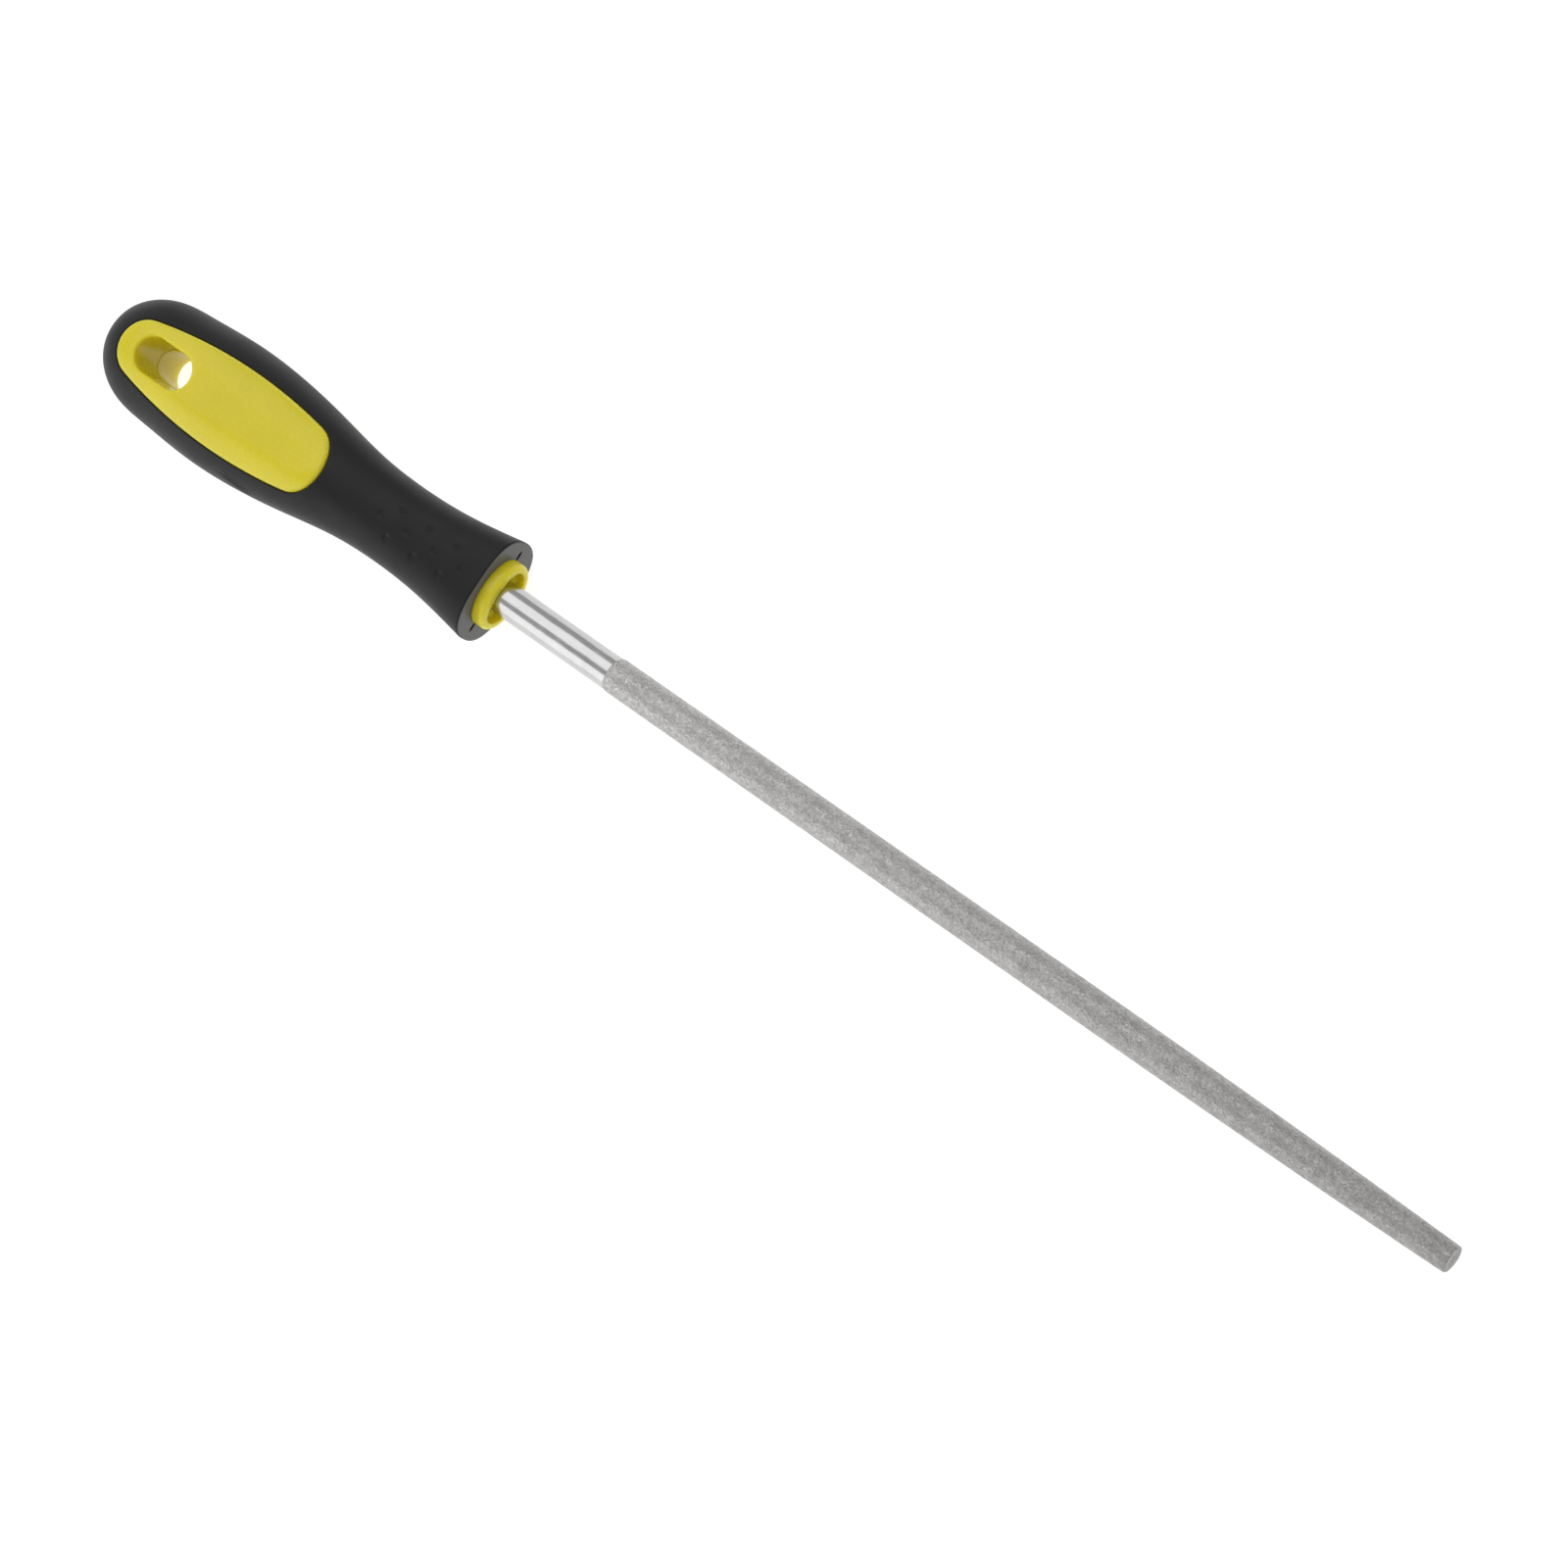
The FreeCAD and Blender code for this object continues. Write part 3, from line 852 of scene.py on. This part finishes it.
def pad_rows(loop, settings):
    """Upper pad from the rubber up over its rounded edge and in to the slot's rounded
    mouth. Both edges are quarter circles, and rows between them run straight in plan."""
    gap = settings.window_gap / MM
    round_out = settings.pad_edge_radius / MM
    round_in = settings.slot_edge_radius / MM
    start_x, start_y = offset_loop(loop, -gap)
    angle = np.arctan2(start_y, start_x - SLOT_X)

    def row(x, y, drop):
        return np.stack([x, y, pad_height(x, y) - drop], axis=-1)

    turn = np.linspace(0, np.pi / 2, 7)
    edge_rows = [
        row(*offset_loop(loop, -gap - round_out * (1 - math.cos(t))), round_out * (1 - math.sin(t)))
        for t in turn
    ]
    mouth_rows = [
        row(*slot_ring(angle, SLOT_MOUTH, 0.0, round_in * (1 - math.cos(t)))[:2],
            round_in * (1 - math.sin(t)))
        for t in turn[::-1]
    ]
    share = np.linspace(0, 1, 34)[1:-1, None, None]
    first, last = edge_rows[-1][None, :, :2], mouth_rows[0][None, :, :2]
    plan = first + (last - first) * share
    between = row(plan[..., 0], plan[..., 1], 0.0)
    return np.concatenate([edge_rows, between, mouth_rows]), angle


def slot_rows(angle, top, ledge):
    """Upper wall of the hang slot from its mouth to mid height: straight and drafted, then
    a small ledge in to the narrowest size."""
    middle = tuple(side + 2 * ledge for side in SLOT_MIDDLE)
    end = np.stack(slot_ring(angle, middle, 0.0), axis=-1)
    share = np.linspace(0, 1, 9)[1:, None, None]
    wall = top[None] + (end - top)[None] * share
    parting = np.stack(slot_ring(angle, SLOT_MIDDLE, 0.0), axis=-1)
    return np.concatenate([wall, parting[None]])


def core_half(form, loop, ledge, settings):
    """Upper half of the core round a window: its hidden skin in to the window, the pad's
    wall, the pad itself and the hang slot down to mid height."""
    skin = field_rows(form, loop, -settings.window_gap / MM, 8)[::-1]
    pad, angle = pad_rows(loop, settings)
    return np.concatenate([skin, pad, slot_rows(angle, pad[-1], ledge)])


def collar_rows(settings):
    """Collar, its recess and the shank's hole, as rows round the axis from the core's waist
    to the hole's closed end. The collar is an oval, the recess a racetrack that the shank's
    hole breaks through, and every edge is a quarter circle."""
    turn = np.linspace(0, np.pi / 2, 8)
    around = ring_turns()
    lip = settings.recess_edge_radius / MM
    floor = COLLAR_FRONT - RECESS_DEPTH
    hole = SHANK_RADIUS + SOCKET_CLEARANCE
    mouth = hole + BORE_CHAMFER

    def oval(x, inset):
        return ring_rows([x], COLLAR_HALF_WIDTH - inset, COLLAR_HALF_HEIGHT - inset)[0]

    def recess(x, grow):
        reach = racetrack_reach(np.pi / 2 - around, RECESS_SIZE, grow)
        reach = np.maximum(reach, mouth)
        return np.stack([x + 0 * around, reach * np.sin(around), reach * np.cos(around)], axis=-1)

    outside = [oval(-NOSE_THICKNESS, 0.0)] + [
        oval(COLLAR_FRONT - COLLAR_EDGE_ROUND * (1 - math.sin(t)),
             COLLAR_EDGE_ROUND * (1 - math.cos(t)))
        for t in turn
    ]
    brim = [recess(COLLAR_FRONT - lip * (1 - math.cos(t)), lip * (1 - math.sin(t))) for t in turn]
    between = [outside[-1] + (brim[0] - outside[-1]) * share for share in (0.25, 0.5, 0.75)]
    basin = [recess(floor + lip * (1 - math.sin(t)), -lip * (1 - math.cos(t))) for t in turn]
    bore_radius = [mouth, hole, hole, 0.0]
    bore = ring_rows(
        [floor, floor - BORE_CHAMFER, -SHOULDER_DEPTH, -SHOULDER_DEPTH], bore_radius, bore_radius,
    )
    return np.concatenate([outside, between, brim, basin, bore])


def core_grids(settings):
    """The whole plastic core: both halves round the windows, and the waist to the bore."""
    form = form_table(-RUBBER_THICKNESS - SKIN_CLEARANCE)
    loop = window_loop(RING_COUNT // 2, SIDE_COUNT, BUTT_COUNT)
    upper = core_half(form, loop, settings.parting_ledge / MM, settings)
    lower = core_half(form, loop, 0.0, settings) * np.array([1.0, 1.0, -1.0])
    back = np.linspace(WAIST_END, NOSE_THICKNESS, 24)
    waist = ring_rows(-back, *section(form, back))
    front = np.concatenate([waist, collar_rows(settings)])
    return [upper, lower, front]


# -------- settings

def small_length(name, description, default):
    """A length property that shows thousandths of a millimetre."""
    return FloatProperty(
        name=name, description=description, default=default, unit="LENGTH", precision=6)


def paint(name, description, default):
    """A base colour property."""
    return FloatVectorProperty(
        name=name, description=description, subtype="COLOR", default=default, min=0, max=1)


class FileSettings(bpy.types.PropertyGroup):
    """Sizes of the steel bar's finish and of its grit."""
    ripple_depth: small_length(
        "Shank Ripple", "How deep the drawn ripples of the shank are", 0.000018)
    grain_depth: small_length(
        "Grain Depth", "How far the grit's hollows go in from its full radius", 0.00006)
    grain_seed: IntProperty(
        name="Grain Seed", description="Seed of the grit's random grains", default=5)


class HandleSettings(bpy.types.PropertyGroup):
    """Sizes of the handle's moulded details."""
    window_gap: small_length(
        "Window Gap", "Shadow gap between a pad and the rubber", 0.00012)
    pad_edge_radius: small_length(
        "Pad Edge", "Rounding of a pad's outer edge", 0.0008)
    slot_edge_radius: small_length(
        "Slot Edge", "Rounding of the hang slot's mouths", 0.0007)
    parting_ledge: small_length(
        "Parting Ledge", "Step in the hang slot at the mould's parting line", 0.00016)
    lip_radius: small_length(
        "Rubber Lip", "Rounding of the rubber's lip round a window", 0.0004)
    dimple_radius: small_length(
        "Dimple Radius", "Radius of a grip dimple at the surface", 0.00105)
    dimple_depth: small_length(
        "Dimple Depth", "Depth of a grip dimple at its middle", 0.0003)
    dimple_pitch: small_length(
        "Dimple Pitch", "Distance between dimples along a row", 0.008)
    dimple_row_spacing: small_length(
        "Dimple Rows", "Distance between rows of dimples", 0.0035)
    dimple_first: small_length(
        "First Dimple", "Distance from the nose to the first dimple", 0.0054)
    slit_width: small_length(
        "Slit Width", "Width of the two slits in the nose face", 0.00045)
    slit_length: small_length(
        "Slit Length", "Length of the two slits in the nose face", 0.0022)
    slit_depth: small_length(
        "Slit Depth", "Depth of the two slits in the nose face", 0.0012)
    crease_depth: small_length(
        "Crease Depth", "Depth of the moulding crease on the -Y side", 0.00028)
    recess_edge_radius: small_length(
        "Recess Edge", "Rounding of the edges of the collar's recess", 0.00022)


class FinishSettings(bpy.types.PropertyGroup):
    """Base colours of the four materials."""
    steel: paint("Steel", "Bright plated steel", (0.56, 0.555, 0.555))
    grit: paint("Grit", "Plating that holds the grit", (0.47, 0.465, 0.465))
    tip_shade: FloatProperty(
        name="Tip Shade", description="Brightness of the grit at the tip against its heel",
        default=0.75, subtype="FACTOR", min=0, max=1)
    yellow: paint("Yellow", "Yellow moulded plastic", (0.74, 0.64, 0.02))
    rubber: paint("Rubber", "Black rubber", (0.0045, 0.0045, 0.005))
    # Painted light: lighter grey base colour of the nose face, for the light and sheen that it
    # catches.
    nose_face_painted_light: paint("Nose Face", "Greyer rubber of the moulded nose face", (0.11, 0.11, 0.112))


class StageSettings(bpy.types.PropertyGroup):
    """Camera, lights and floor."""
    azimuth: FloatProperty(
        name="Azimuth", description="Camera's direction round the file", subtype="ANGLE",
        default=math.radians(97.4))
    elevation: FloatProperty(
        name="Elevation", description="Camera's height over the horizon", subtype="ANGLE",
        default=math.radians(65.8))
    slope: FloatProperty(
        name="Slope", description="How far the file runs downhill to the right in the view",
        subtype="ANGLE", default=math.radians(34.88))
    distance: FloatProperty(
        name="Distance", description="Camera to the point that it looks at", unit="LENGTH",
        default=1.018)
    lens: FloatProperty(name="Lens", description="Focal length in millimetres", default=113.04)
    floor_shade: FloatProperty(
        name="Floor Shade", description="Brightness of the pale floor's surface", subtype="FACTOR",
        default=0.4, min=0, max=1)
    floor_glow: FloatProperty(
        name="Floor Glow", description="Light that comes up through the pale floor", default=0.84)
    sky: FloatProperty(name="Sky", description="Strength of the even light all round", default=0.5)
    side_box: FloatProperty(
        name="Side Softbox", description="Brightness of the softbox low on the -Y side",
        default=1.1)
    top_box: FloatProperty(
        name="Top Softbox", description="Brightness of the softbox over the +Y side", default=0.95)


# -------- operators

class ROUNDFILE_OT_bar(bpy.types.Operator):
    """Steel bar: tang, shank and the core of the working length"""
    bl_idname = "roundfile.bar"
    bl_label = "Steel Bar"

    def execute(self, context):
        material = polished_steel(context.scene.file_finish)
        grids = [bar_grid(context.scene.file_sizes)]
        make_mesh("steel_bar", grids, material, "file_bar")
        return {"FINISHED"}


class ROUNDFILE_OT_grit(bpy.types.Operator):
    """Grit layer over the working length and the tip"""
    bl_idname = "roundfile.grit"
    bl_label = "Grit Layer"

    def execute(self, context):
        material = grit_plating(context.scene.file_finish)
        grids = [grit_grid(context.scene.file_sizes)]
        make_mesh("grit_layer", grids, material, "grit_coat", math.pi)
        return {"FINISHED"}


class ROUNDFILE_OT_core(bpy.types.Operator):
    """Yellow core: two pads, hang slot, collar and socket"""
    bl_idname = "roundfile.core"
    bl_label = "Plastic Core"

    def execute(self, context):
        sizes = context.scene.file_handle
        material = yellow_moulding(context.scene.file_finish)
        make_mesh("plastic_core", core_grids(sizes), material, "handle_core")
        return {"FINISHED"}


class ROUNDFILE_OT_sleeve(bpy.types.Operator):
    """Black rubber sleeve with its windows, dimples, crease and nose face"""
    bl_idname = "roundfile.sleeve"
    bl_label = "Rubber Sleeve"

    def execute(self, context):
        material = black_rubber(context.scene.file_finish)
        grids = sleeve_grids(context.scene.file_handle)
        make_mesh("rubber_sleeve", grids, material, "grip_sleeve")
        return {"FINISHED"}


def floor_material(settings):
    """Matt pale floor, lit from below like a light table, with a trace of unevenness."""
    material, tree, place = start_material("pale_floor")
    cloud = noise(tree, place, 3.0, 2.0)
    pale = (settings.floor_shade,) * 3
    finish_material(tree, {
        "Base Color": mix_colours(tree, cloud, shade(pale, 0.98), shade(pale, 1.0)),
        "Roughness": 0.9,
        "Specular IOR Level": 0.1,
        "Emission Color": (1.0, 1.0, 1.0, 1.0),
        "Emission Strength": settings.floor_glow,
    })
    return material


def add_floor(settings):
    """Square floor just under the handle's rest, tipped so that the file's tip meets it."""
    reach = FLOOR_REACH
    rest_x = NOSE_ORIGIN[0] + REST_NOSE_X * MM
    tip_low = COAT_BOX[0].z + (COAT_RADIUS - TIP_RADIUS) * MM
    slope = tip_low / (COAT_BOX[1].x - rest_x)
    corners = np.array([(-reach, -reach), (reach, -reach), (reach, reach), (-reach, reach)])
    points = np.column_stack([corners, (corners[:, 0] - rest_x) * slope - FLOOR_GAP])
    mesh = bpy.data.meshes.new("floor")
    mesh.from_pydata(points.tolist(), [], [(0, 1, 2, 3)])
    mesh.materials.append(floor_material(settings))
    floor = bpy.data.objects.new("floor", mesh)
    bpy.context.scene.collection.objects.link(floor)


def add_softbox(name, lean, distance, size, brightness):
    """Rectangular area light that faces the file. lean is its angle from straight up
    towards +Y, once the view's own lean towards -X is taken out, and its power is
    brightness times its area times pi."""
    light = bpy.data.lights.new(name, "AREA")
    light.shape = "RECTANGLE"
    light.size, light.size_y = size
    light.energy = brightness * size[0] * size[1] * math.pi
    box = bpy.data.objects.new(name, light)
    sine, cosine = VIEW_LEAN
    towards = Vector((-sine, cosine * math.sin(lean), cosine * math.cos(lean)))
    across = Vector((cosine, sine * math.sin(lean), sine * math.cos(lean)))
    upright = towards.cross(across)
    box.matrix_world = Matrix.Translation(towards * distance) @ Matrix((
        across, upright, towards,
    )).transposed().to_4x4()
    bpy.context.scene.collection.objects.link(box)


def add_sky(strength):
    """Even pale light from all round."""
    world = bpy.data.worlds.new("studio")
    world.use_nodes = True
    background = world.node_tree.nodes["Background"]
    background.inputs["Color"].default_value = (1.0, 1.0, 1.0, 1.0)
    background.inputs["Strength"].default_value = strength
    bpy.context.scene.world = world


def add_camera(settings):
    """Long-lens camera over the tip end, rolled so that the file runs down to the right."""
    level = math.cos(settings.elevation)
    back = Vector((
        math.sin(settings.azimuth) * level, -math.cos(settings.azimuth) * level,
        math.sin(settings.elevation),
    ))
    along = Vector((1.0, 0.0, 0.0))
    along = (along - back * along.dot(back)).normalized()
    across = back.cross(along)
    right = along * math.cos(settings.slope) + across * math.sin(settings.slope)
    up = back.cross(right)
    aim = Vector((NOSE_ORIGIN[0] + 81.0 * MM, 1.55 * MM, NOSE_ORIGIN[2]))
    place = aim + back * settings.distance
    data = bpy.data.cameras.new("camera")
    data.lens = settings.lens
    data.sensor_width = 36.0
    data.clip_start = 0.05
    camera = bpy.data.objects.new("camera", data)
    camera.matrix_world = Matrix((
        (right.x, up.x, back.x, place.x),
        (right.y, up.y, back.y, place.y),
        (right.z, up.z, back.z, place.z),
        (0.0, 0.0, 0.0, 1.0),
    ))
    bpy.context.scene.collection.objects.link(camera)
    bpy.context.scene.camera = camera


class ROUNDFILE_OT_stage(bpy.types.Operator):
    """Pale floor, soft studio light and the camera"""
    bl_idname = "roundfile.stage"
    bl_label = "Stage"

    def execute(self, context):
        settings = context.scene.file_stage
        add_camera(settings)
        add_floor(settings)
        add_sky(settings.sky)
        add_softbox("side_softbox", math.radians(-63), 1.8, (2.2, 1.5), settings.side_box)
        add_softbox("top_softbox", math.radians(22), 1.8, (2.2, 1.65), settings.top_box)
        context.scene.view_settings.view_transform = "Standard"
        return {"FINISHED"}


class ROUNDFILE_PT_builder(bpy.types.Panel):
    """Lists the file's settings and its building steps"""
    bl_label = "Round Grit File"
    bl_space_type = "VIEW_3D"
    bl_region_type = "UI"
    bl_category = "Round File"

    def draw(self, context):
        for group in (context.scene.file_sizes, context.scene.file_handle,
                      context.scene.file_finish, context.scene.file_stage):
            box = self.layout.box()
            for name in group.bl_rna.properties.keys():
                if name not in ("rna_type", "name"):
                    box.prop(group, name)
        for step in STEPS:
            self.layout.operator(step.bl_idname)


STEPS = (
    ROUNDFILE_OT_stage, ROUNDFILE_OT_bar, ROUNDFILE_OT_grit, ROUNDFILE_OT_core,
    ROUNDFILE_OT_sleeve,
)
GROUPS = {
    "file_sizes": FileSettings, "file_handle": HandleSettings,
    "file_finish": FinishSettings, "file_stage": StageSettings,
}


def register():
    for group in GROUPS.values():
        bpy.utils.register_class(group)
    for step in STEPS:
        bpy.utils.register_class(step)
    bpy.utils.register_class(ROUNDFILE_PT_builder)
    for name, group in GROUPS.items():
        setattr(bpy.types.Scene, name, PointerProperty(type=group))


def unregister():
    for name in GROUPS:
        delattr(bpy.types.Scene, name)
    bpy.utils.unregister_class(ROUNDFILE_PT_builder)
    for kind in (*STEPS, *GROUPS.values()):
        bpy.utils.unregister_class(kind)


def main():
    """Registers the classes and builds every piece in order."""
    register()
    for step in STEPS:
        family, name = step.bl_idname.split(".")
        getattr(getattr(bpy.ops, family), name)()


if __name__ == "__main__":
    main()
